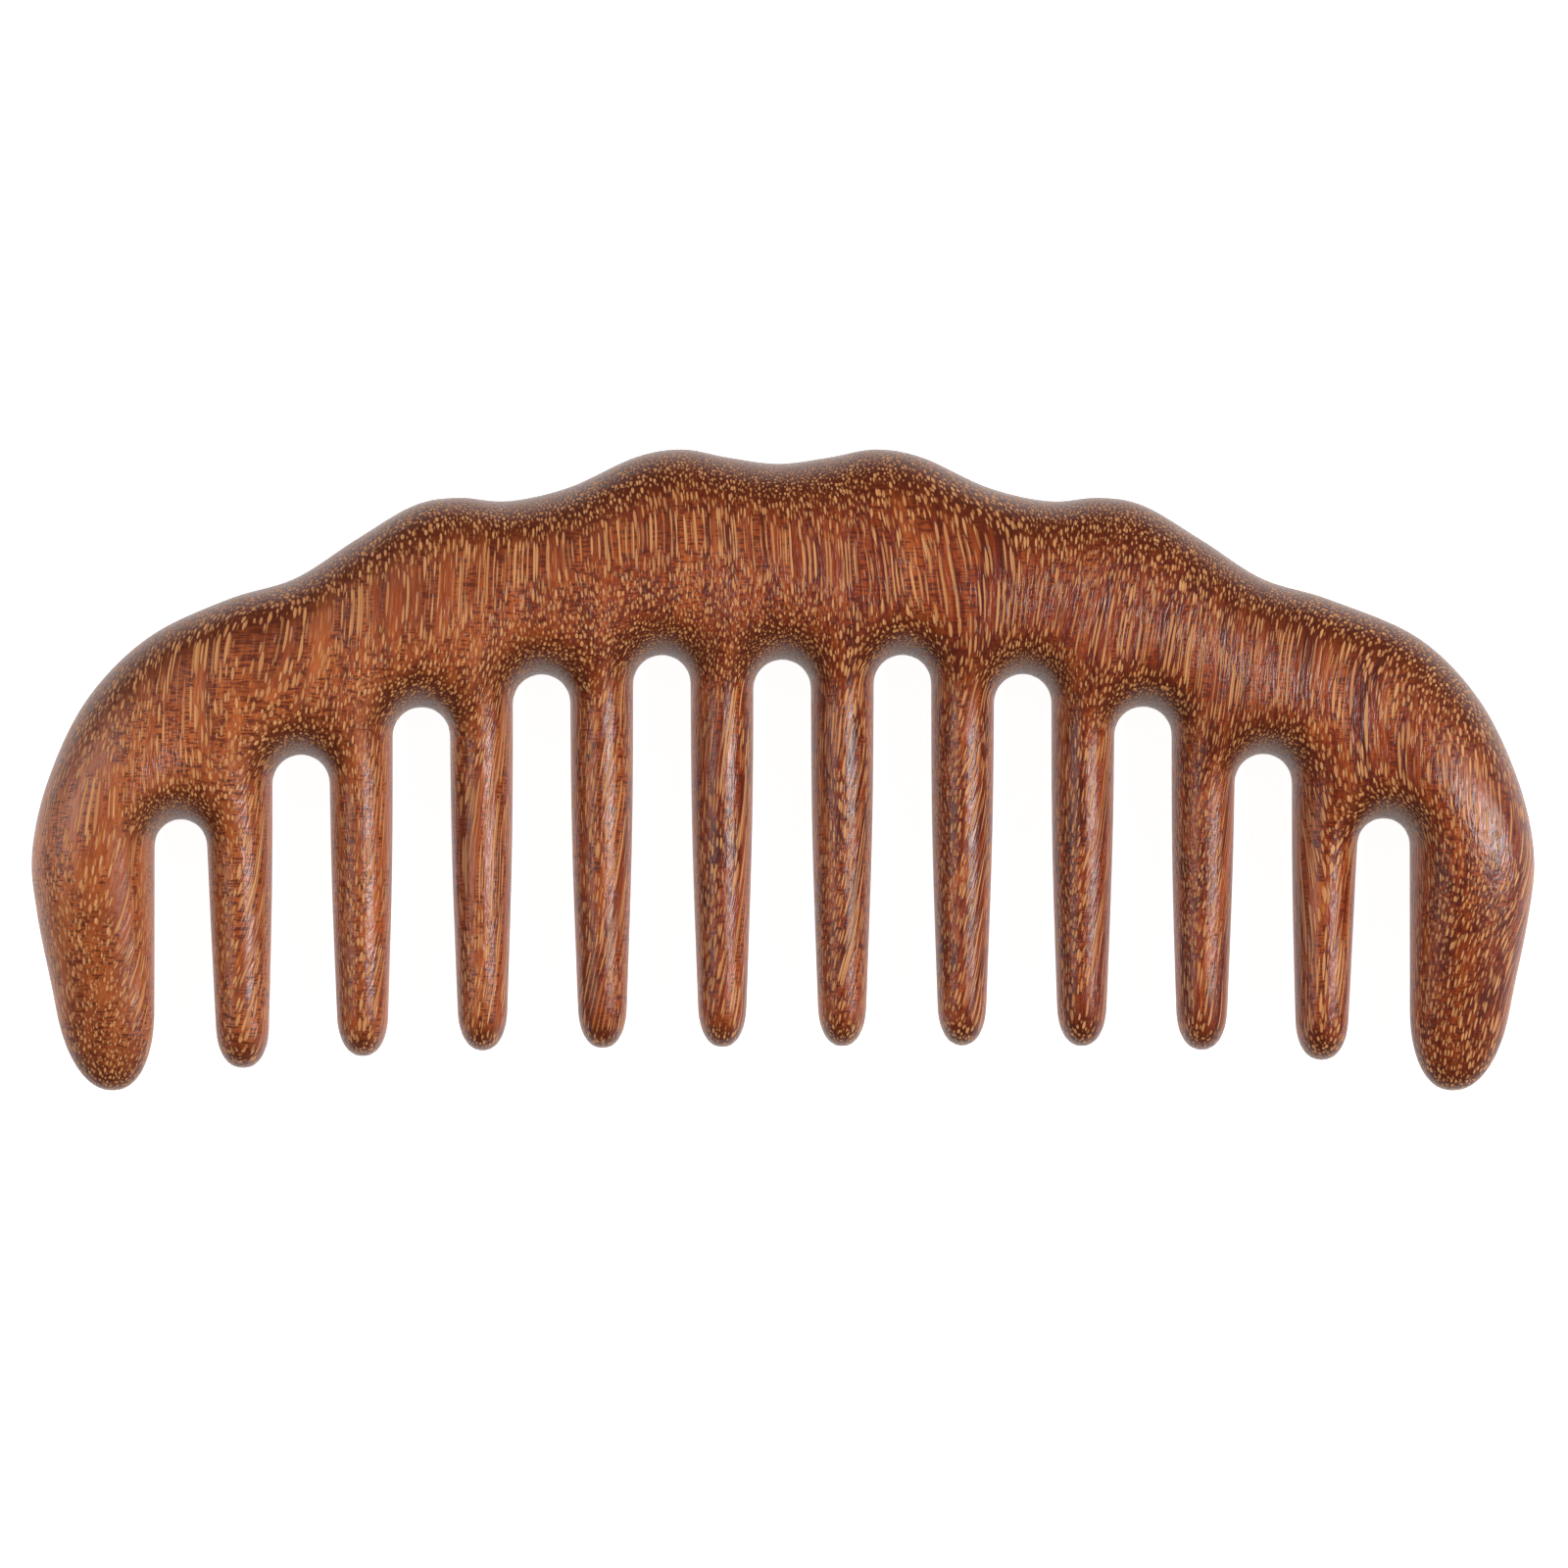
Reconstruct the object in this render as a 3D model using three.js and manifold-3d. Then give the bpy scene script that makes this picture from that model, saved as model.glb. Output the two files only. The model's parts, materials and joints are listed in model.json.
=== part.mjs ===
// A wide-tooth hair comb, carved and polished from one block of wood.
//
// Units are millimetres. The comb lies on its back face, so +Z runs up through its thickness.
// +X runs along its length and +Y points from the tooth tips to the wavy grip edge.
// The spine, the two guard teeth and the ten inner teeth are regions of one block, and each
// region is a mesh of its own, so that the slots between the teeth stay open.

import Module from "manifold-3d";
import * as THREE from "three";
import { mergeVertices } from "three/addons/utils/BufferGeometryUtils.js";

// ---- driving dimensions -------------------------------------------------------------------

const THICKNESS = 16;
const MID_Z = THICKNESS / 2;

// The crown of the spine is a little deeper than the finished thickness. Both faces are then
// sanded flat to it, which leaves a narrow flat band that the comb rests on.
const CROWN_HALF_DEPTH = 8.3;

// Eleven slots part the teeth. Their round roofs lie on one arc, but the middle one stops short,
// under the middle dip of the grip edge. The slots next to the guard teeth are narrower.
const SLOT_COUNT = 11;
const SLOT_PITCH = 13.2;
const MIDDLE_SLOT_X = -0.1;
const SLOT_WIDTH = 6.3;
const END_SLOT_WIDTH = 5.8;
const ROOF_ARC_RADIUS = 126;
const ROOF_ARC_TOP_Y = 13.4;
const MIDDLE_ROOF_DROP = 1.2;

// The inner teeth draw together a little towards their tips. Tips nearer to the ends reach lower
// and are wider, and the line of tips is slightly tilted.
const TIP_PITCH = 13.15;
const MIDDLE_TIP_Y = -30.3;
const END_TIP_REACH = 1.9;
const TIP_LINE_TILT = 0.0075;
const MIDDLE_TIP_HALF_WIDTH = 2.5;
const END_TIP_WIDENING = 0.25;

const TOOTH_WIDTH_TAPER = 0.037;
const TOOTH_TIP_LENGTH = 4.5;
const TOOTH_ROOT_HALF_DEPTH = 5.2;
const TOOTH_TIP_HALF_DEPTH = 3.3;
const TOOTH_ROOT_OVERLAP = 7;

const GUARD_TIP_Y = -35.1;
const GUARD_INNER_X = 68.9;
const GUARD_TIP_LENGTH = 9;
const GUARD_FULL_DEPTH_Y = -12;
const GUARD_TIP_HALF_DEPTH = 5.2;
const GUARD_TOP_Y = 15.6;

// Outer edge of the right-hand guard tooth, from its tip before rounding to below its widest place.
const GUARD_OUTER_EDGE = [[78.2, -35.1], [80.0, -25.0], [81.8, -16.0]];

// Right-hand shoulder of the outline, from its widest place up to the grip edge.
const SHOULDER = [[82.4, -9.0], [80.6, -0.9], [76.4, 7.8], [69.7, 14.6]];

// Right half of the wavy grip edge, from the middle dip outwards: a finger bump, a dip, a bump and
// the long slope to the shoulder. The left half mirrors it about the middle dip.
const MIDDLE_DIP_X = -0.5;
const MIDDLE_DIP_Y = 33.7;
const GRIP_EDGE = [
  [5.0, 34.4], [10.1, 35.3], [15.3, 34.4], [22.5, 31.1], [29.2, 29.6],
  [34.7, 30.0], [39.6, 29.1], [46.0, 25.3], [52.6, 21.1], [60.0, 18.8],
];

// The spine's lower edge runs this far below the slot roofs, inside the tooth roots.
const SPINE_BELOW_ROOFS = 5;
const SPINE_END_X = 81.5;
const SPINE_END_CAP = 9;
const SPINE_END_LOWER_Y = -16;

// Teeth are parted from the spine this far below the springing of the slot roofs.
const ROOT_LINE_DROP = 0.5;

// Cutting shapes reach this far from the middle, beyond every edge of the comb.
const PAST_EVERYTHING = 100;

const WOOD = { color: 0x7d3a20, roughness: 0.4, metalness: 0 };

// ---- outline curves -----------------------------------------------------------------------

// The slots, from the left end of the comb to the right end.
const slots = Array.from({ length: SLOT_COUNT }, (_, index) => {
  const fromMiddle = index - (SLOT_COUNT - 1) / 2;
  const x = MIDDLE_SLOT_X + fromMiddle * SLOT_PITCH;
  const isEnd = index === 0 || index === SLOT_COUNT - 1;
  const halfWidth = (isEnd ? END_SLOT_WIDTH : SLOT_WIDTH) / 2;
  const arcDrop = ROOF_ARC_RADIUS - Math.sqrt(ROOF_ARC_RADIUS ** 2 - x ** 2);
  const roofY = ROOF_ARC_TOP_Y - arcDrop - (fromMiddle === 0 ? MIDDLE_ROOF_DROP : 0);
  return { x, roofY, halfWidth, springY: roofY - halfWidth };
});

// The tips of the inner teeth, before they are rounded.
const tips = slots.slice(1).map((_, index) => {
  const x = MIDDLE_SLOT_X + (index - (SLOT_COUNT - 2) / 2) * TIP_PITCH;
  const outward = (2 * index) / (SLOT_COUNT - 2) - 1;
  return {
    x,
    y: MIDDLE_TIP_Y - END_TIP_REACH * outward ** 4 + TIP_LINE_TILT * x,
    halfWidth: MIDDLE_TIP_HALF_WIDTH + END_TIP_WIDENING * outward ** 2,
  };
});

// How finely a smooth curve is sampled between two of its points.
const SAMPLES_PER_POINT = 12;

// Turns a smooth curve through the points into a function that reads one coordinate from the
// other. The points run in one direction along the coordinate that is read from.
function smoothFunction(points) {
  const curve = new THREE.SplineCurve(points.map(([from, to]) => new THREE.Vector2(from, to)));
  const samples = curve.getPoints(points.length * SAMPLES_PER_POINT);
  return (value) => {
    const next = samples.findIndex((sample) => sample.x >= value);
    if (next < 0) return samples[samples.length - 1].y;
    if (next === 0) return samples[0].y;
    const [before, after] = [samples[next - 1], samples[next]];
    return THREE.MathUtils.mapLinear(value, before.x, after.x, before.y, after.y);
  };
}

const topEdgeY = smoothFunction([
  ...SHOULDER.map(([x, y]) => [-x, y]),
  ...GRIP_EDGE.map(([x, y]) => [2 * MIDDLE_DIP_X - x, y]).toReversed(),
  [MIDDLE_DIP_X, MIDDLE_DIP_Y],
  ...GRIP_EDGE,
  ...SHOULDER.toReversed(),
]);
const lowerEdgeY = smoothFunction([
  [-SPINE_END_X, SPINE_END_LOWER_Y],
  ...slots.map((slot) => [slot.x, slot.roofY - SPINE_BELOW_ROOFS]),
  [SPINE_END_X, SPINE_END_LOWER_Y],
]);
const guardEdge = [...GUARD_OUTER_EDGE, ...SHOULDER, [GUARD_INNER_X, GUARD_TOP_Y]];
const guardOuterX = smoothFunction(guardEdge.map(([x, y]) => [y, x]));

// Blunt tips are rounded a little fuller than an ellipse, whose fullness is 2.
const TIP_FULLNESS = 2.3;

// How much of its full width a bar keeps at a distance from its blunt, rounded tip.
function tipRounding(distance, tipLength) {
  const inward = Math.max(0, 1 - distance / tipLength);
  return (1 - inward ** TIP_FULLNESS) ** (1 / TIP_FULLNESS);
}

// ---- solids -------------------------------------------------------------------------------

const wasm = await Module();
wasm.setup();

// Vertices closer together than this are one vertex.
const MERGE_DISTANCE = 1e-4;

// Turns a closed geometry, which it changes, into a solid that can be cut and joined.
function toSolid(geometry) {
  geometry.deleteAttribute("normal");
  geometry.deleteAttribute("uv");
  const merged = mergeVertices(geometry, MERGE_DISTANCE);
  return new wasm.Manifold(new wasm.Mesh({
    numProp: 3,
    vertProperties: new Float32Array(merged.getAttribute("position").array),
    triVerts: new Uint32Array(merged.index.array),
  }));
}

function toGeometry(solid) {
  const mesh = solid.getMesh();
  const geometry = new THREE.BufferGeometry();
  geometry.setAttribute("position", new THREE.BufferAttribute(mesh.vertProperties, 3));
  geometry.setIndex(new THREE.BufferAttribute(mesh.triVerts, 1));
  return geometry;
}

// A closed bar with oval sections along Y. sectionAt(y) gives each section's centre across the
// bar, its half width and its half depth. Stations crowd towards both ends, which are round.
function ovalBar({ start, end, stations, sides, sectionAt }) {
  const profile = [];
  for (let station = 0; station <= stations; station += 1) {
    const onAxis = station === 0 || station === stations;
    profile.push(new THREE.Vector2(onAxis ? 0 : 1, station));
  }
  const geometry = new THREE.LatheGeometry(profile, sides);
  const position = geometry.getAttribute("position");
  for (let index = 0; index < position.count; index += 1) {
    const share = (1 - Math.cos((Math.PI * position.getY(index)) / stations)) / 2;
    const y = THREE.MathUtils.lerp(start, end, share);
    const { centre, halfWidth, halfDepth } = sectionAt(y);
    const across = centre + position.getX(index) * halfWidth;
    position.setXYZ(index, across, y, position.getZ(index) * halfDepth);
  }
  return geometry;
}

function spineBar() {
  const bar = ovalBar({
    start: -SPINE_END_X,
    end: SPINE_END_X,
    stations: 64,
    sides: 16,
    sectionAt: (x) => {
      const intoCap = Math.max(0, Math.abs(x) - SPINE_END_X + SPINE_END_CAP) / SPINE_END_CAP;
      const cap = Math.sqrt(Math.max(0, 1 - intoCap ** 2));
      const [top, bottom] = [topEdgeY(x), lowerEdgeY(x)];
      // The bar is modelled along Y and then turned onto X, which also turns its centre over.
      return {
        centre: -(top + bottom) / 2,
        halfWidth: (cap * (top - bottom)) / 2,
        halfDepth: cap * CROWN_HALF_DEPTH,
      };
    },
  });
  return bar.rotateZ(-Math.PI / 2);
}

function slotCutter({ x, halfWidth, springY }) {
  const lowest = -PAST_EVERYTHING;
  const outline = new THREE.Shape();
  outline.moveTo(x - halfWidth, lowest);
  outline.lineTo(x + halfWidth, lowest);
  outline.lineTo(x + halfWidth, springY);
  outline.absarc(x, springY, halfWidth, 0, Math.PI, false);
  outline.closePath();
  const depth = THICKNESS * 2;
  const cutter = new THREE.ExtrudeGeometry(outline, { depth, bevelEnabled: false, curveSegments: 10 });
  return cutter.translate(0, 0, -depth / 2);
}

function innerToothBar(tip, index) {
  const [left, right] = [slots[index], slots[index + 1]];
  const [leftX, rightX] = [left.x + left.halfWidth, right.x - right.halfWidth];
  const rootX = (leftX + rightX) / 2;
  const rootHalfWidth = (rightX - leftX) / 2;
  const rootY = Math.max(left.springY, right.springY);
  return ovalBar({
    start: tip.y,
    end: rootY + TOOTH_ROOT_OVERLAP,
    stations: 12,
    sides: 12,
    sectionAt: (y) => {
      const fromTip = y - tip.y;
      const toRoot = Math.min(1, fromTip / (rootY - tip.y));
      const rounding = tipRounding(fromTip, TOOTH_TIP_LENGTH);
      return {
        centre: THREE.MathUtils.lerp(tip.x, rootX, toRoot),
        halfWidth: Math.min(rootHalfWidth, tip.halfWidth + fromTip * TOOTH_WIDTH_TAPER) * rounding,
        halfDepth: THREE.MathUtils.lerp(TOOTH_TIP_HALF_DEPTH, TOOTH_ROOT_HALF_DEPTH, toRoot) * rounding,
      };
    },
  });
}

// A guard tooth reaches from its tip up to the shoulder. Its inner edge is straight.
function guardToothBar(side) {
  const widestY = SHOULDER[0][1];
  return ovalBar({
    start: GUARD_TIP_Y,
    end: GUARD_TOP_Y,
    stations: 22,
    sides: 16,
    sectionAt: (y) => {
      const fromTip = y - GUARD_TIP_Y;
      const half = (guardOuterX(y) - GUARD_INNER_X) / 2;
      const toFullDepth = THREE.MathUtils.smoothstep(y, GUARD_TIP_Y, GUARD_FULL_DEPTH_Y);
      const intoShoulder = THREE.MathUtils.smoothstep(y, widestY, GUARD_TOP_Y);
      const deepened = THREE.MathUtils.lerp(GUARD_TIP_HALF_DEPTH, CROWN_HALF_DEPTH, toFullDepth);
      const rounding = tipRounding(fromTip, GUARD_TIP_LENGTH);
      return {
        centre: side * (GUARD_INNER_X + half),
        halfWidth: half * rounding,
        halfDepth: deepened * (1 - intoShoulder) * rounding,
      };
    },
  });
}

// The space that holds one tooth below the root line, from the slot on its left to the slot on
// its right. A guard tooth has a slot on one side only.
function toothSpace(leftSlot, rightSlot) {
  const left = leftSlot ? leftSlot.x : -PAST_EVERYTHING;
  const right = rightSlot ? rightSlot.x : PAST_EVERYTHING;
  const springs = [leftSlot, rightSlot].filter(Boolean).map((slot) => slot.springY);
  const top = Math.min(...springs) - ROOT_LINE_DROP;
  const bottom = -PAST_EVERYTHING;
  const box = new THREE.BoxGeometry(right - left, top - bottom, THICKNESS * 2);
  return box.translate((left + right) / 2, (top + bottom) / 2, 0);
}

// The teeth's solids, from the left guard tooth to the right one.
function toothSolids() {
  const bars = [guardToothBar(-1), ...tips.map(innerToothBar), guardToothBar(1)];
  return bars.map(toSolid);
}

// Everything above the root lines: the bar along the grip edge, cut by the slots, and the roots
// of the teeth that run into it.
function spineSolid(teeth, spaces) {
  let spine = toSolid(spineBar());
  for (const slot of slots) spine = spine.subtract(toSolid(slotCutter(slot)));
  for (const tooth of teeth) spine = spine.add(tooth);
  for (const space of spaces) spine = spine.subtract(space);
  return spine;
}

// ---- assembly -----------------------------------------------------------------------------

const sandedBoard = new THREE.BoxGeometry(PAST_EVERYTHING * 2, PAST_EVERYTHING * 2, THICKNESS);
const sandedThickness = toSolid(sandedBoard);

function woodMesh(name, solid) {
  const geometry = toGeometry(solid.intersect(sandedThickness));
  const mesh = new THREE.Mesh(geometry, new THREE.MeshStandardMaterial(WOOD));
  mesh.name = name;
  return mesh;
}

function toothName(index) {
  if (index === 0) return "guard_tooth_left";
  if (index === slots.length) return "guard_tooth_right";
  return `tooth_${String(index).padStart(2, "0")}`;
}

const teeth = toothSolids();
const spaces = teeth.map((_, index) => toSolid(toothSpace(slots[index - 1], slots[index])));

const group = new THREE.Group();
group.add(woodMesh("spine", spineSolid(teeth, spaces)));
teeth.forEach((tooth, index) => {
  group.add(woodMesh(toothName(index), tooth.intersect(spaces[index])));
});
group.position.z = MID_Z;

export default group;
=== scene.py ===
"""A wide-tooth hair comb carved from one block of reddish-brown hardwood, lying on a pale floor."""
import json
import math

import bpy
import numpy as np
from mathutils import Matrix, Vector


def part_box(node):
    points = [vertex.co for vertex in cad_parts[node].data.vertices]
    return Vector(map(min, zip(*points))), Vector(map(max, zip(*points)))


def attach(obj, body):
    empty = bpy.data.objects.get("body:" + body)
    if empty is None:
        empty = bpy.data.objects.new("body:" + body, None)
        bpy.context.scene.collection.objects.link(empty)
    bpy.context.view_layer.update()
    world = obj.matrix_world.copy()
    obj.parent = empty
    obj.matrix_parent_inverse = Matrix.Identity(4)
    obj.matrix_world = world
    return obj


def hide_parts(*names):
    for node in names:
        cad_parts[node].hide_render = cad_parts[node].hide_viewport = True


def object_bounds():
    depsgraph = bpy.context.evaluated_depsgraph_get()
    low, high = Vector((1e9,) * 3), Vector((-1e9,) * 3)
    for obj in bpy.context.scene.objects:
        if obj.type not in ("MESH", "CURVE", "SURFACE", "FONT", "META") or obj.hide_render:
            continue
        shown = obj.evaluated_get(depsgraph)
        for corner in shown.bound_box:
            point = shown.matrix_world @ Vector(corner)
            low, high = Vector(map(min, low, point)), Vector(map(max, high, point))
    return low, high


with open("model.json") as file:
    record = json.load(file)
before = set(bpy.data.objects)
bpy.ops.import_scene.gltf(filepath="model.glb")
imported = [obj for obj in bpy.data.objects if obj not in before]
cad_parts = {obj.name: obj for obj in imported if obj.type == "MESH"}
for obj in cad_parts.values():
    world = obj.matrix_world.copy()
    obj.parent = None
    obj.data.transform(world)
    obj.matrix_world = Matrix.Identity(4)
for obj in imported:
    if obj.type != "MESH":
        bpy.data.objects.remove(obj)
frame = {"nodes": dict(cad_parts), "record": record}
cad_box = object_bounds()

MM = 0.001
NODES = sorted(frame["nodes"])
INNER_TEETH = [name for name in NODES if name.startswith("tooth_")]


def box_mm(name):
    """Lowest and highest corner of a CAD node, in millimetres."""
    low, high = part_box(name)
    return np.array(low) / MM, np.array(high) / MM


BOX_LOW, BOX_HIGH = (np.array(corner) / MM for corner in cad_box)
MID_Z = (BOX_LOW[2] + BOX_HIGH[2]) / 2


# ---- camera, light and floor ----------------------------------------------------------------

def make_camera():
    """Looks straight down on the comb's face, from far away, so that its outline isn't distorted."""
    view_width = 172.1 * MM
    distance = 0.9
    centre_x, centre_y = 0.1 * MM, -1.45 * MM
    data = bpy.data.cameras.new("camera")
    data.lens = data.sensor_width * distance / view_width
    data.clip_end = 10
    camera = bpy.data.objects.new("camera", data)
    camera.location = (centre_x, centre_y, MID_Z * MM + distance)
    bpy.context.collection.objects.link(camera)
    bpy.context.scene.camera = camera


def area_light(name, direction, distance, size, power):
    """A soft rectangular light that faces the comb from a direction."""
    data = bpy.data.lights.new(name, "AREA")
    data.shape = "RECTANGLE"
    data.size, data.size_y = size
    data.energy = power
    light = bpy.data.objects.new(name, data)
    unit = np.array(direction) / np.linalg.norm(direction)
    light.location = unit * distance
    light.rotation_euler = (-light.location).to_track_quat("-Z", "Y").to_euler()
    bpy.context.collection.objects.link(light)


def make_light():
    world = bpy.data.worlds.new("studio")
    world.use_nodes = True
    world.node_tree.nodes["Background"].inputs["Color"].default_value = (1, 1, 1, 1)
    world.node_tree.nodes["Background"].inputs["Strength"].default_value = 0.12
    bpy.context.scene.world = world
    area_light("key_light", direction=(0.67, 0.0, 0.74), distance=2.0, size=(0.5, 1.2), power=55)
    area_light("fill_light", direction=(-0.75, 0.15, 0.64), distance=2.0, size=(1.4, 1.4), power=25)
    bpy.context.scene.view_settings.view_transform = "Standard"


def make_floor():
    half = 3.0
    mesh = bpy.data.meshes.new("floor")
    corners = [(-half, -half, 0), (half, -half, 0), (half, half, 0), (-half, half, 0)]
    mesh.from_pydata(corners, [], [(0, 1, 2, 3)])
    material = bpy.data.materials.new("pale_floor")
    material.use_nodes = True
    shader = material.node_tree.nodes["Principled BSDF"]
    shader.inputs["Base Color"].default_value = (0.5, 0.5, 0.5, 1)
    shader.inputs["Roughness"].default_value = 0.9
    shader.inputs["Specular IOR Level"].default_value = 0.1
    shader.inputs["Emission Color"].default_value = (1, 1, 1, 1)
    shader.inputs["Emission Strength"].default_value = 0.95
    mesh.materials.append(material)
    floor = bpy.data.objects.new("floor", mesh)
    bpy.context.collection.objects.link(floor)


# ---- outline of the comb's face -------------------------------------------------------------

# Outer edge of the right-hand guard tooth, from its tip before rounding to below its widest place.
GUARD_OUTER_EDGE = [(78.2, -35.1), (80.0, -25.0), (81.8, -16.0)]

# Right-hand shoulder of the outline, from its widest place up to the grip edge.
SHOULDER = [(82.4, -9.0), (80.6, -0.9), (76.4, 7.8), (69.7, 14.6)]

# Right half of the wavy grip edge, from the middle dip outwards: a finger bump, a dip, a bump and the long
# slope to the shoulder. The left half mirrors it about the middle dip.
MIDDLE_DIP = (-0.5, 33.7)
GRIP_EDGE = [
    (5.0, 34.4), (10.1, 35.3), (15.3, 34.4), (22.5, 31.1), (29.2, 29.6),
    (34.7, 30.0), (39.6, 29.1), (46.0, 25.3), (52.6, 21.1), (60.0, 18.8),
]

# The inner teeth draw together a little towards their tips, and the end ones are wider there.
TIP_PITCH = 13.15
MIDDLE_TIP_HALF_WIDTH = 2.5
END_TIP_WIDENING = 0.25
TOOTH_TAPER = 0.037
TOOTH_TIP_LENGTH = 4.5
GUARD_TIP_LENGTH = 9
TIP_FULLNESS = 2.3

# How far the record's openings keep from the slots' sides and roofs.
OPENING_SIDE_GAP = 0.25
OPENING_ROOF_GAP = 0.15

OUTLINE_STEP = 0.35
SAMPLES_PER_SPAN = 24


def smooth_curve(points):
    """Points along a Catmull-Rom curve through the given points."""
    points = np.array(points, float)
    padded = np.vstack([2 * points[0] - points[1], points, 2 * points[-1] - points[-2]])
    t = np.linspace(0, 1, SAMPLES_PER_SPAN, endpoint=False)[:, None]
    spans = []
    for a, b, c, d in zip(padded, padded[1:], padded[2:], padded[3:]):
        squared = (2 * a - 5 * b + 4 * c - d) * t**2
        cubed = (3 * b - a - 3 * c + d) * t**3
        spans.append(0.5 * (2 * b + (c - a) * t + squared + cubed))
    return np.vstack(spans + [points[-1:]])


def tip_rounding(distance, tip_length):
    """How much of its full width a tooth keeps at a distance from its blunt tip."""
    inward = np.clip(1 - distance / tip_length, 0, 1)
    return (1 - inward**TIP_FULLNESS) ** (1 / TIP_FULLNESS)


def slot_shapes():
    """Centre, half width and springing height of each slot, from the openings that the record states."""
    slots = []
    for opening in frame["record"]["physics"]["openings"]:
        low, high = np.array(opening["box_m"]) / MM
        stated_half = (high[0] - low[0]) / 2
        half = stated_half + OPENING_SIDE_GAP
        spring = high[1] + OPENING_ROOF_GAP - math.sqrt(half**2 - stated_half**2)
        slots.append({"x": (low[0] + high[0]) / 2, "half": half, "spring": spring})
    return sorted(slots, key=lambda slot: slot["x"])


def blended_minimum(a, b, sharpness=6):
    """The smaller of two values, with a smooth change from one to the other."""
    return -np.logaddexp(-a * sharpness, -b * sharpness) / sharpness


def distances_from_tip(length, count=90):
    """Distances that crowd together at the round tip."""
    return (1 - np.cos(np.linspace(0, np.pi / 2, count))) * length


def tooth_sides(name, outward, left_slot, right_slot):
    """The outline of one inner tooth, from the slot on its left, round its tip and up to the slot on its
    right. Outward runs from -1 at the first inner tooth to 1 at the last one."""
    tip_x = (left_slot["x"] + right_slot["x"]) / 2 * TIP_PITCH / (right_slot["x"] - left_slot["x"])
    tip_half = MIDDLE_TIP_HALF_WIDTH + END_TIP_WIDENING * outward**2
    tip_y = box_mm(name)[0][1]
    left_x = left_slot["x"] + left_slot["half"]
    right_x = right_slot["x"] - right_slot["half"]
    root_x, root_half = (left_x + right_x) / 2, (right_x - left_x) / 2
    sides = []
    for side, slot in ((-1, left_slot), (1, right_slot)):
        length = slot["spring"] - tip_y
        distance = distances_from_tip(length)
        to_root = distance / length
        half = blended_minimum(tip_half + TOOTH_TAPER * distance, root_half)
        half += (root_half - half[-1]) * to_root**6
        centre = tip_x + (root_x - tip_x) * to_root
        x = centre + side * half * tip_rounding(distance, TOOTH_TIP_LENGTH)
        sides.append(np.column_stack([x, tip_y + distance]))
    return np.vstack([sides[0][::-1], sides[1][1:]])


def slot_roof(slot):
    """The slot's half-round roof, from its left springing over to its right one."""
    angle = np.linspace(np.pi, 0, 30)[1:-1]
    x = slot["x"] + slot["half"] * np.cos(angle)
    return np.column_stack([x, slot["spring"] + slot["half"] * np.sin(angle)])


def guard_sides(side, slot):
    """The outline of one guard tooth, from its widest place down, round its tip and up to its slot."""
    inner_x = abs(slot["x"]) + slot["half"]
    outer_edge = smooth_curve(GUARD_OUTER_EDGE + SHOULDER)
    tip_y = box_mm("guard_tooth_left")[0][1]
    widest_y = SHOULDER[0][1]
    outlines = []
    for edge, top in ((1, widest_y), (-1, slot["spring"])):
        distance = distances_from_tip(top - tip_y)
        half = (np.interp(tip_y + distance, outer_edge[:, 1], outer_edge[:, 0]) - inner_x) / 2
        across = inner_x + half + edge * half * tip_rounding(distance, GUARD_TIP_LENGTH)
        outlines.append(np.column_stack([side * across, tip_y + distance]))
    outer, inner = outlines
    return np.vstack([outer[::-1], inner[1:]])


def comb_outline():
    """The closed outline of the comb's face, anticlockwise, as evenly spaced points."""
    slots = slot_shapes()
    right_end = GUARD_OUTER_EDGE[-1:] + SHOULDER
    left_end = [(-x, y) for x, y in right_end]
    left_grip = [(2 * MIDDLE_DIP[0] - x, y) for x, y in reversed(GRIP_EDGE)]
    top = smooth_curve(left_end + left_grip + [MIDDLE_DIP] + GRIP_EDGE + right_end[::-1])
    # The first and last span belong to the guard teeth and only steer the curve's ends.
    pieces = [top[SAMPLES_PER_SPAN:-SAMPLES_PER_SPAN][::-1]]
    pieces.append(guard_sides(-1, slots[0]))
    for index, name in enumerate(INNER_TEETH):
        pieces.append(slot_roof(slots[index]))
        outward = 2 * index / (len(INNER_TEETH) - 1) - 1
        pieces.append(tooth_sides(name, outward, slots[index], slots[index + 1]))
    pieces.append(slot_roof(slots[-1]))
    pieces.append(guard_sides(1, slots[-1])[::-1])
    points = np.vstack(pieces)
    closed = np.vstack([points, points[:1]])
    walked = np.concatenate([[0], np.cumsum(np.hypot(*np.diff(closed, axis=0).T))])
    even = np.arange(0, walked[-1], OUTLINE_STEP)
    return np.column_stack([np.interp(even, walked, closed[:, axis]) for axis in (0, 1)])


# ---- rounded body ---------------------------------------------------------------------------

GRID_STEP = 0.55
EDGE_SOFTNESS = 0.2
CROWN_DEPTH = 9.45


def inner_distance(x, y, outline):
    """A smooth stand-in for the distance to the outline: positive inside, zero on it, negative outside.
    It is twice the inverse of the polygon's mean-value potential, so it has no ridges."""
    result = np.empty(x.size)
    for start in range(0, x.size, 2000):
        part = slice(start, start + 2000)
        dx = outline[:, 0] - x.flat[part][:, None]
        dy = outline[:, 1] - y.flat[part][:, None]
        radius = np.hypot(dx, dy)
        next_dx, next_dy, next_radius = (np.roll(values, -1, axis=1) for values in (dx, dy, radius))
        cross = dx * next_dy - dy * next_dx
        dot = dx * next_dx + dy * next_dy
        tangent = cross / (radius * next_radius + dot + 1e-12)
        result[part] = 2 / np.sum((1 / radius + 1 / next_radius) * tangent, axis=1)
    return result.reshape(x.shape)


def smooth_step(start, end, value):
    share = np.clip((value - start) / (end - start), 0, 1)
    return share * share * (3 - 2 * share)


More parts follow.
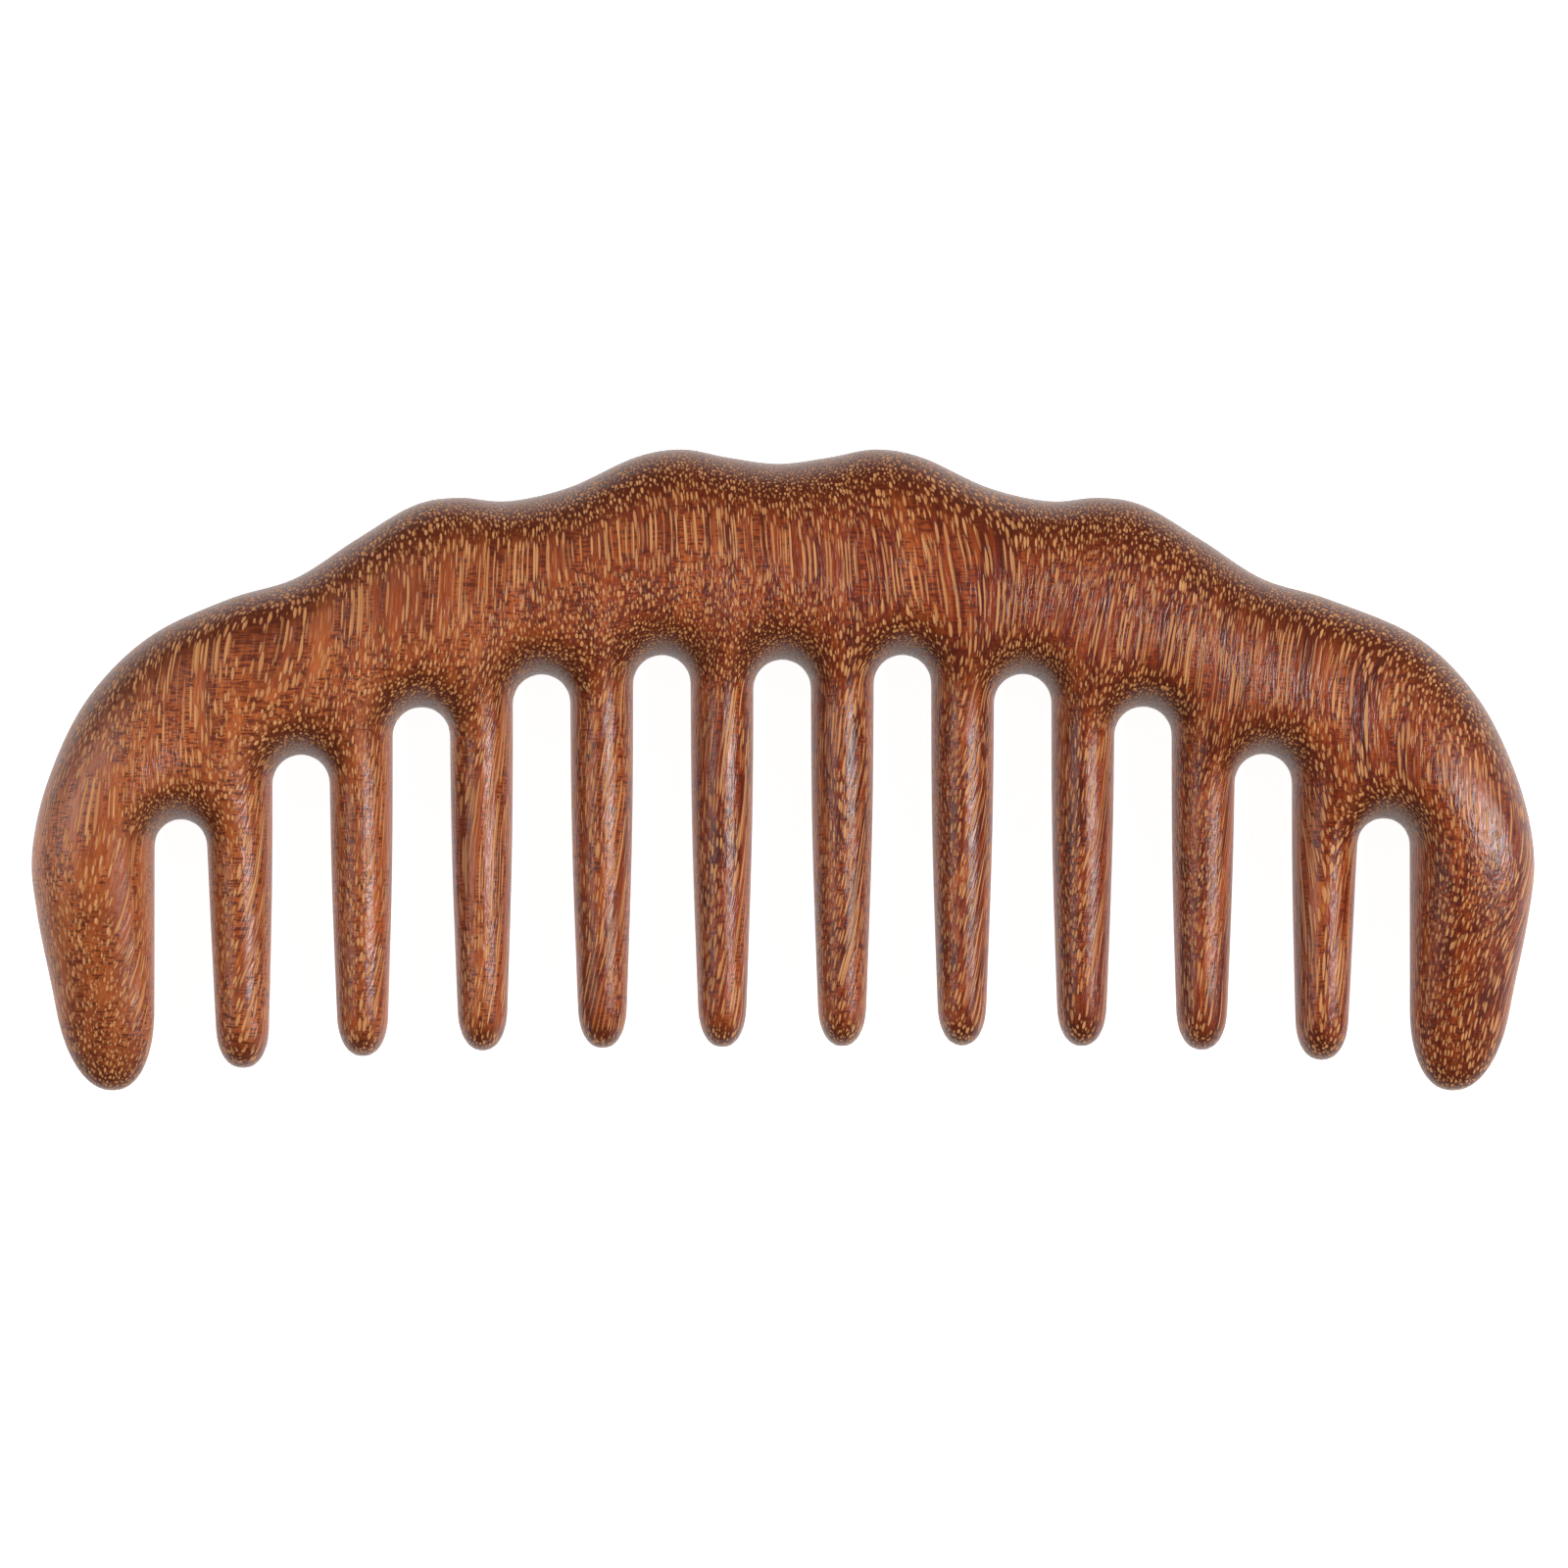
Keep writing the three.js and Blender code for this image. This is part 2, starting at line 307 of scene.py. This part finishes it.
def face_depth(x, y):
    """Half the thickness that the board has here before its edges are rounded: full at the spine, less
    towards the tooth tips, and more in the broad guard teeth."""
    guard = smooth_step(64, 72, np.abs(x)) * smooth_step(16, -8, y)
    thinning = 0.3 * smooth_step(8, -45, y) + 0.3 * guard * smooth_step(-8, -40, y)
    return CROWN_DEPTH * (1 + 0.2 * guard) * (1 - thinning)


def cubic_weights(t):
    return np.stack([
        -0.5 * t + t**2 - 0.5 * t**3,
        1 - 2.5 * t**2 + 1.5 * t**3,
        0.5 * t + 2 * t**2 - 1.5 * t**3,
        -0.5 * t**2 + 0.5 * t**3,
    ])


def sample_smoothly(field, column, row):
    """Reads a grid at fractional places, with a smooth cubic between its values."""
    column_base = np.clip(np.floor(column).astype(int), 1, field.shape[0] - 3)
    row_base = np.clip(np.floor(row).astype(int), 1, field.shape[1] - 3)
    column_weights = cubic_weights(column - column_base)
    row_weights = cubic_weights(row - row_base)
    total = np.zeros(column.shape)
    for i in range(4):
        for j in range(4):
            total += column_weights[i] * row_weights[j] * field[column_base + i - 1, row_base + j - 1]
    return total


def surface_net(values):
    """Vertices, in grid units, and quads of the surface where a 3-D grid of values crosses zero."""
    inside = values > 0
    shape = np.array(values.shape) - 1
    total = np.zeros((*shape, 3))
    count = np.zeros(shape)
    for axis in range(3):
        near, far = [slice(None)] * 3, [slice(None)] * 3
        near[axis], far[axis] = slice(None, -1), slice(1, None)
        a, b = values[tuple(near)], values[tuple(far)]
        crossed = (a > 0) != (b > 0)
        place = np.where(crossed, a / np.where(crossed, a - b, 1), 0)
        others = [other for other in range(3) if other != axis]
        for u in (0, 1):
            for v in (0, 1):
                window = [slice(None)] * 3
                for other, offset in zip(others, (u, v)):
                    window[other] = slice(offset, offset + shape[other])
                hit, along = crossed[tuple(window)], place[tuple(window)]
                total[..., axis] += np.where(hit, along, 0)
                for other, offset in zip(others, (u, v)):
                    total[..., other] += np.where(hit, offset, 0)
                count += hit
    used = count > 0
    cells = np.argwhere(used)
    vertices = cells + total[used] / count[used][:, None]
    number = np.full(shape, -1)
    number[used] = np.arange(len(cells))
    quads = []
    for axis in range(3):
        u, v = (axis + 1) % 3, (axis + 2) % 3
        near, far = [slice(1, -1)] * 3, [slice(1, -1)] * 3
        near[axis], far[axis] = slice(None, -1), slice(1, None)
        a, b = inside[tuple(near)], inside[tuple(far)]
        edges = np.argwhere(a != b)
        leaving = a[tuple(edges.T)]
        corner = edges.copy()
        corner[:, u] += 1
        corner[:, v] += 1
        ring = []
        for du, dv in ((0, 0), (-1, 0), (-1, -1), (0, -1)):
            cell = corner.copy()
            cell[:, u] += du
            cell[:, v] += dv
            ring.append(number[tuple(cell.T)])
        ring = np.stack(ring, axis=1)
        quads.append(np.where(leaving[:, None], ring, ring[:, ::-1]))
    return vertices, np.vstack(quads)


def carve_body():
    """Vertices in metres and quads of the whole comb: its outline, swollen to a rounded solid."""
    outline = comb_outline()
    margin = 4 * GRID_STEP
    x = np.arange(BOX_LOW[0] - margin, BOX_HIGH[0] + margin, GRID_STEP)
    y = np.arange(BOX_LOW[1] - margin, BOX_HIGH[1] + margin, GRID_STEP)
    grid_x, grid_y = np.meshgrid(x, y, indexing="ij")
    distance = inner_distance(grid_x, grid_y, outline)
    rounding = 1 - np.exp(-EDGE_SOFTNESS * np.clip(distance, -4, None))
    height = face_depth(grid_x, grid_y) ** 2 * rounding
    height *= MID_Z**2 / height.max()
    top = BOX_HIGH[2] - MID_Z + margin
    z = np.arange(-top, top + GRID_STEP, GRID_STEP)
    vertices, quads = surface_net(height[:, :, None] - z**2)

    # Slide each vertex along the slope onto the exact surface, so that the gloss runs clean.
    step = 0.05
    for _ in range(3):
        column, row, level = vertices.T
        depth = z[0] + level * GRID_STEP
        value = sample_smoothly(height, column, row) - depth**2
        right, left = (sample_smoothly(height, column + shift, row) for shift in (step, -step))
        upper, lower = (sample_smoothly(height, column, row + shift) for shift in (step, -step))
        slope_x = (right - left) / (2 * step)
        slope_y = (upper - lower) / (2 * step)
        slope_z = -2 * depth * GRID_STEP
        slopes = np.stack([slope_x, slope_y, slope_z], axis=1)
        move = -value / np.sum(slopes**2, axis=1)
        vertices += np.clip(move[:, None] * slopes, -0.5, 0.5)
    corner = np.array([x[0], y[0], MID_Z + z[0]])
    return (corner + vertices * GRID_STEP) * MM, quads


def make_comb(material):
    """The one piece of wood, which stands in for every node of the CAD frame."""
    vertices, quads = carve_body()
    mesh = bpy.data.meshes.new("comb_wood")
    mesh.from_pydata(vertices.tolist(), [], quads.tolist())
    mesh.polygons.foreach_set("use_smooth", np.ones(len(quads), bool))
    mesh.materials.append(material)
    mesh.update()
    comb = bpy.data.objects.new("comb_wood", mesh)
    bpy.context.collection.objects.link(comb)
    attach(comb, "root")
    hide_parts(*NODES)
    return comb


# ---- wood -----------------------------------------------------------------------------------

# Linear colours of the heartwood, from its darkest bands to its palest.
WINE_BROWN = (0.060, 0.006, 0.0015, 1)
RED_BROWN = (0.140, 0.017, 0.003, 1)
RUSSET = (0.210, 0.033, 0.005, 1)
ORANGE_BROWN = (0.300, 0.066, 0.012, 1)
# The palest colour, blended in towards the left end: partly the wood's own paler tone and partly painted
# light.
PALE_ORANGE_AND_PAINTED_LIGHT = (0.390, 0.115, 0.032, 1)

# Linear colours of the cut fibre ends and of the pores.
END_GRAIN_BROWN = (0.056, 0.009, 0.002, 1)
PORE_TAN = (0.365, 0.138, 0.038, 1)
PALE_PORE = (0.485, 0.222, 0.078, 1)

# How far X and Z drift for each millimetre along the board, and in its slow and quick waves.
FIBRE_LEAN_X = -0.12
FIBRE_LEAN_Z = 0.05
SLOW_WAVE = 16.0
QUICK_WAVE = 0.6

# How often each pattern repeats in a millimetre: across the board, along its fibres, through it.
SLOW_WAVE_RATE = (0.03, 0.02, 0.03)
QUICK_WAVE_RATE = (0.30, 0.12, 0.30)
BAND_RATE = (0.42, 0.010, 0.42)
STREAK_RATE = (2.8, 0.06, 2.8)
FLECK_RATE = (0.9, 4.2, 0.9)
FLECK_COLUMN_RATE = (0.7, 0.03, 0.7)
FIBRE_RELIEF_RATE = (3.5, 0.5, 3.5)

# Pores: millimetres between neighbours, and how much their radius varies, from half of it to one and a half.
PORE_SPACING = 0.46
PORE_RADIUS = 0.110
THIN_PORE_SPACING = 0.47
THIN_PORE_RADIUS = 0.08
THIN_PORE_SHIFT = (31.0, 7.0, 13.0)

WAX_ROUGHNESS = 0.3
PORE_ROUGHENING = 0.25
RELIEF_DEPTH = 0.09


class Graph:
    """Short ways to add and link the shader nodes of one material."""

    def __init__(self, tree):
        self.tree = tree

    def add(self, kind, inputs, **settings):
        node = self.tree.nodes.new(kind)
        for name, value in settings.items():
            setattr(node, name, value)
        for socket, value in inputs.items():
            if isinstance(value, bpy.types.NodeSocket):
                self.tree.links.new(value, node.inputs[socket])
            else:
                node.inputs[socket].default_value = value
        return node

    def maths(self, operation, a, b=0.0, c=0.0):
        return self.add("ShaderNodeMath", {0: a, 1: b, 2: c}, operation=operation).outputs[0]

    def stretch(self, vector, per_mm):
        """Scales a vector by how many times a pattern repeats in a millimetre along each axis."""
        return self.add("ShaderNodeVectorMath", {0: vector, 1: per_mm}, operation="MULTIPLY").outputs[0]

    def noise(self, vector, per_mm, detail=2.0, roughness=0.5):
        place = self.stretch(vector, per_mm)
        inputs = {"Vector": place, "Scale": 1.0, "Detail": detail, "Roughness": roughness}
        return self.add("ShaderNodeTexNoise", inputs)

    def ease(self, value, low, high):
        """0 below low, 1 above high and smooth between them. Low may be the larger of the two."""
        inputs = {"Value": value, "From Min": low, "From Max": high}
        return self.add("ShaderNodeMapRange", inputs, interpolation_type="SMOOTHSTEP").outputs[0]

    def blend(self, share, a, b):
        return self.add("ShaderNodeMix", {0: share, 6: a, 7: b}, data_type="RGBA").outputs[2]

    def ramp(self, value, stops):
        """Colours between stops, which are pairs of a value and its colour."""
        node = self.add("ShaderNodeValToRGB", {0: value})
        elements = node.color_ramp.elements
        while len(elements) < len(stops):
            elements.new(0.5)
        for element, (place, colour) in zip(elements, stops):
            element.position = place
            element.color = colour
        return node.outputs[0]


def fibre_coordinates(graph):
    """Millimetres in the board, with X and Z bent so that Y follows the leaning, wandering fibres."""
    place = graph.add("ShaderNodeTexCoord", {}).outputs["Object"]
    in_mm = graph.stretch(place, (1 / MM, 1 / MM, 1 / MM))
    axes = graph.add("ShaderNodeSeparateXYZ", {0: in_mm}).outputs
    wander = graph.noise(in_mm, SLOW_WAVE_RATE, detail=1.0).outputs["Color"]
    ripple = graph.noise(in_mm, QUICK_WAVE_RATE, detail=1.0).outputs["Color"]
    slow = graph.add("ShaderNodeSeparateXYZ", {0: wander}).outputs
    quick = graph.add("ShaderNodeSeparateXYZ", {0: ripple}).outputs
    bent = []
    for axis, lean in ((0, FIBRE_LEAN_X), (2, FIBRE_LEAN_Z)):
        leaning = graph.maths("MULTIPLY_ADD", axes[1], lean, axes[axis])
        wandering = graph.maths("MULTIPLY_ADD", slow[axis], SLOW_WAVE, leaning)
        bent.append(graph.maths("MULTIPLY_ADD", quick[axis], QUICK_WAVE, wandering))
    fibres = graph.add("ShaderNodeCombineXYZ", {0: bent[0], 1: axes[1], 2: bent[1]}).outputs[0]
    return axes, fibres


def pore_layer(graph, fibres, spacing, radius, shift):
    """Tubes along the fibres: 1 inside a pore and 0 between pores, and a random tint for each."""
    moved = graph.add("ShaderNodeVectorMath", {0: fibres, 1: shift}, operation="ADD").outputs[0]
    axes = graph.add("ShaderNodeSeparateXYZ", {0: moved}).outputs
    section = graph.add("ShaderNodeCombineXYZ", {0: axes[0], 1: axes[2]}).outputs[0]
    inputs = {"Vector": section, "Scale": 1 / spacing, "Randomness": 0.85}
    voronoi = graph.add("ShaderNodeTexVoronoi", inputs, voronoi_dimensions="2D")
    tint = graph.add("ShaderNodeSeparateColor", {0: voronoi.outputs["Color"]}).outputs
    smallest = 0.5 * radius / spacing
    reach = graph.maths("ADD", graph.maths("MULTIPLY", tint[1], radius / spacing), smallest)
    closeness = graph.maths("SUBTRACT", reach, voronoi.outputs["Distance"])
    return graph.ease(closeness, -0.04, 0.05), tint[0]


def heartwood(graph, axes, fibres):
    """Bands and streaks of colour along the fibres, paler at the board's left end than at its right: partly
    the wood's own tone and partly painted light, which makes up for the key light falling from the right.
    """
    bands = graph.noise(fibres, BAND_RATE, detail=3.0, roughness=0.6).outputs[0]
    streaks = graph.noise(fibres, STREAK_RATE, detail=3.0, roughness=0.65).outputs[0]
    tone = graph.maths("ADD", graph.maths("MULTIPLY", bands, 0.5), graph.maths("MULTIPLY", streaks, 0.5))
    # Towards the left end the tone rises and blends into the palest colour: partly real tone and partly
    # painted light against the key light from the right.
    left_tone_and_painted_light = graph.ease(axes[0], 10.0, -80.0)
    tone = graph.maths("ADD", tone, graph.maths("MULTIPLY", left_tone_and_painted_light, 0.05))
    stops = [(0.40, WINE_BROWN), (0.47, RED_BROWN), (0.53, RUSSET), (0.62, ORANGE_BROWN)]
    return graph.blend(graph.maths("MULTIPLY", left_tone_and_painted_light, 0.3), graph.ramp(tone, stops), PALE_ORANGE_AND_PAINTED_LIGHT)


def add_flecks(graph, fibres, colour):
    """Ray flecks: short marks across the fibres, in some of the bands only."""
    flecks = graph.noise(fibres, FLECK_RATE, detail=1.0).outputs[0]
    columns = graph.noise(fibres, FLECK_COLUMN_RATE, detail=1.0).outputs[0]
    mask = graph.maths("MULTIPLY", graph.ease(flecks, 0.46, 0.60), graph.ease(columns, 0.38, 0.52))
    return graph.blend(graph.maths("MULTIPLY", mask, 0.8), colour, WINE_BROWN)


def darken_end_grain(graph, colour):
    """Where the surface cuts across the fibres it shows their dark ends."""
    normal = graph.add("ShaderNodeNewGeometry", {}).outputs["Normal"]
    along = graph.maths("ABSOLUTE", graph.add("ShaderNodeSeparateXYZ", {0: normal}).outputs[1])
    end_grain = graph.ease(along, 0.05, 0.50)
    return graph.blend(graph.maths("MULTIPLY", end_grain, 0.85), colour, END_GRAIN_BROWN)


def make_wood():
    """Reddish-brown hardwood with pale open pores, rubbed with wax to a satin gloss."""
    material = bpy.data.materials.new("waxed_hardwood")
    material.use_nodes = True
    graph = Graph(material.node_tree)
    axes, fibres = fibre_coordinates(graph)
    colour = darken_end_grain(graph, add_flecks(graph, fibres, heartwood(graph, axes, fibres)))

    pores, tint = pore_layer(graph, fibres, PORE_SPACING, PORE_RADIUS, (0.0, 0.0, 0.0))
    thin_pores, thin_tint = pore_layer(graph, fibres, THIN_PORE_SPACING, THIN_PORE_RADIUS, THIN_PORE_SHIFT)
    for mask, shade, strength in ((thin_pores, thin_tint, 0.5), (pores, tint, 0.9)):
        pore_colour = graph.blend(shade, PORE_TAN, PALE_PORE)
        colour = graph.blend(graph.maths("MULTIPLY", mask, strength), colour, pore_colour)

    grain = graph.noise(fibres, FIBRE_RELIEF_RATE, detail=2.0).outputs[0]
    height = graph.maths("SUBTRACT", graph.maths("MULTIPLY", grain, 1.2), pores)
    bump = graph.add("ShaderNodeBump", {"Strength": 0.9, "Distance": RELIEF_DEPTH * MM, "Height": height})
    roughness = graph.maths("MULTIPLY_ADD", pores, PORE_ROUGHENING, WAX_ROUGHNESS)

    shader = material.node_tree.nodes["Principled BSDF"]
    graph.tree.links.new(colour, shader.inputs["Base Color"])
    graph.tree.links.new(roughness, shader.inputs["Roughness"])
    graph.tree.links.new(bump.outputs[0], shader.inputs["Normal"])
    shader.inputs["Specular IOR Level"].default_value = 0.36
    return material


make_camera()
make_light()
make_floor()
make_comb(make_wood())
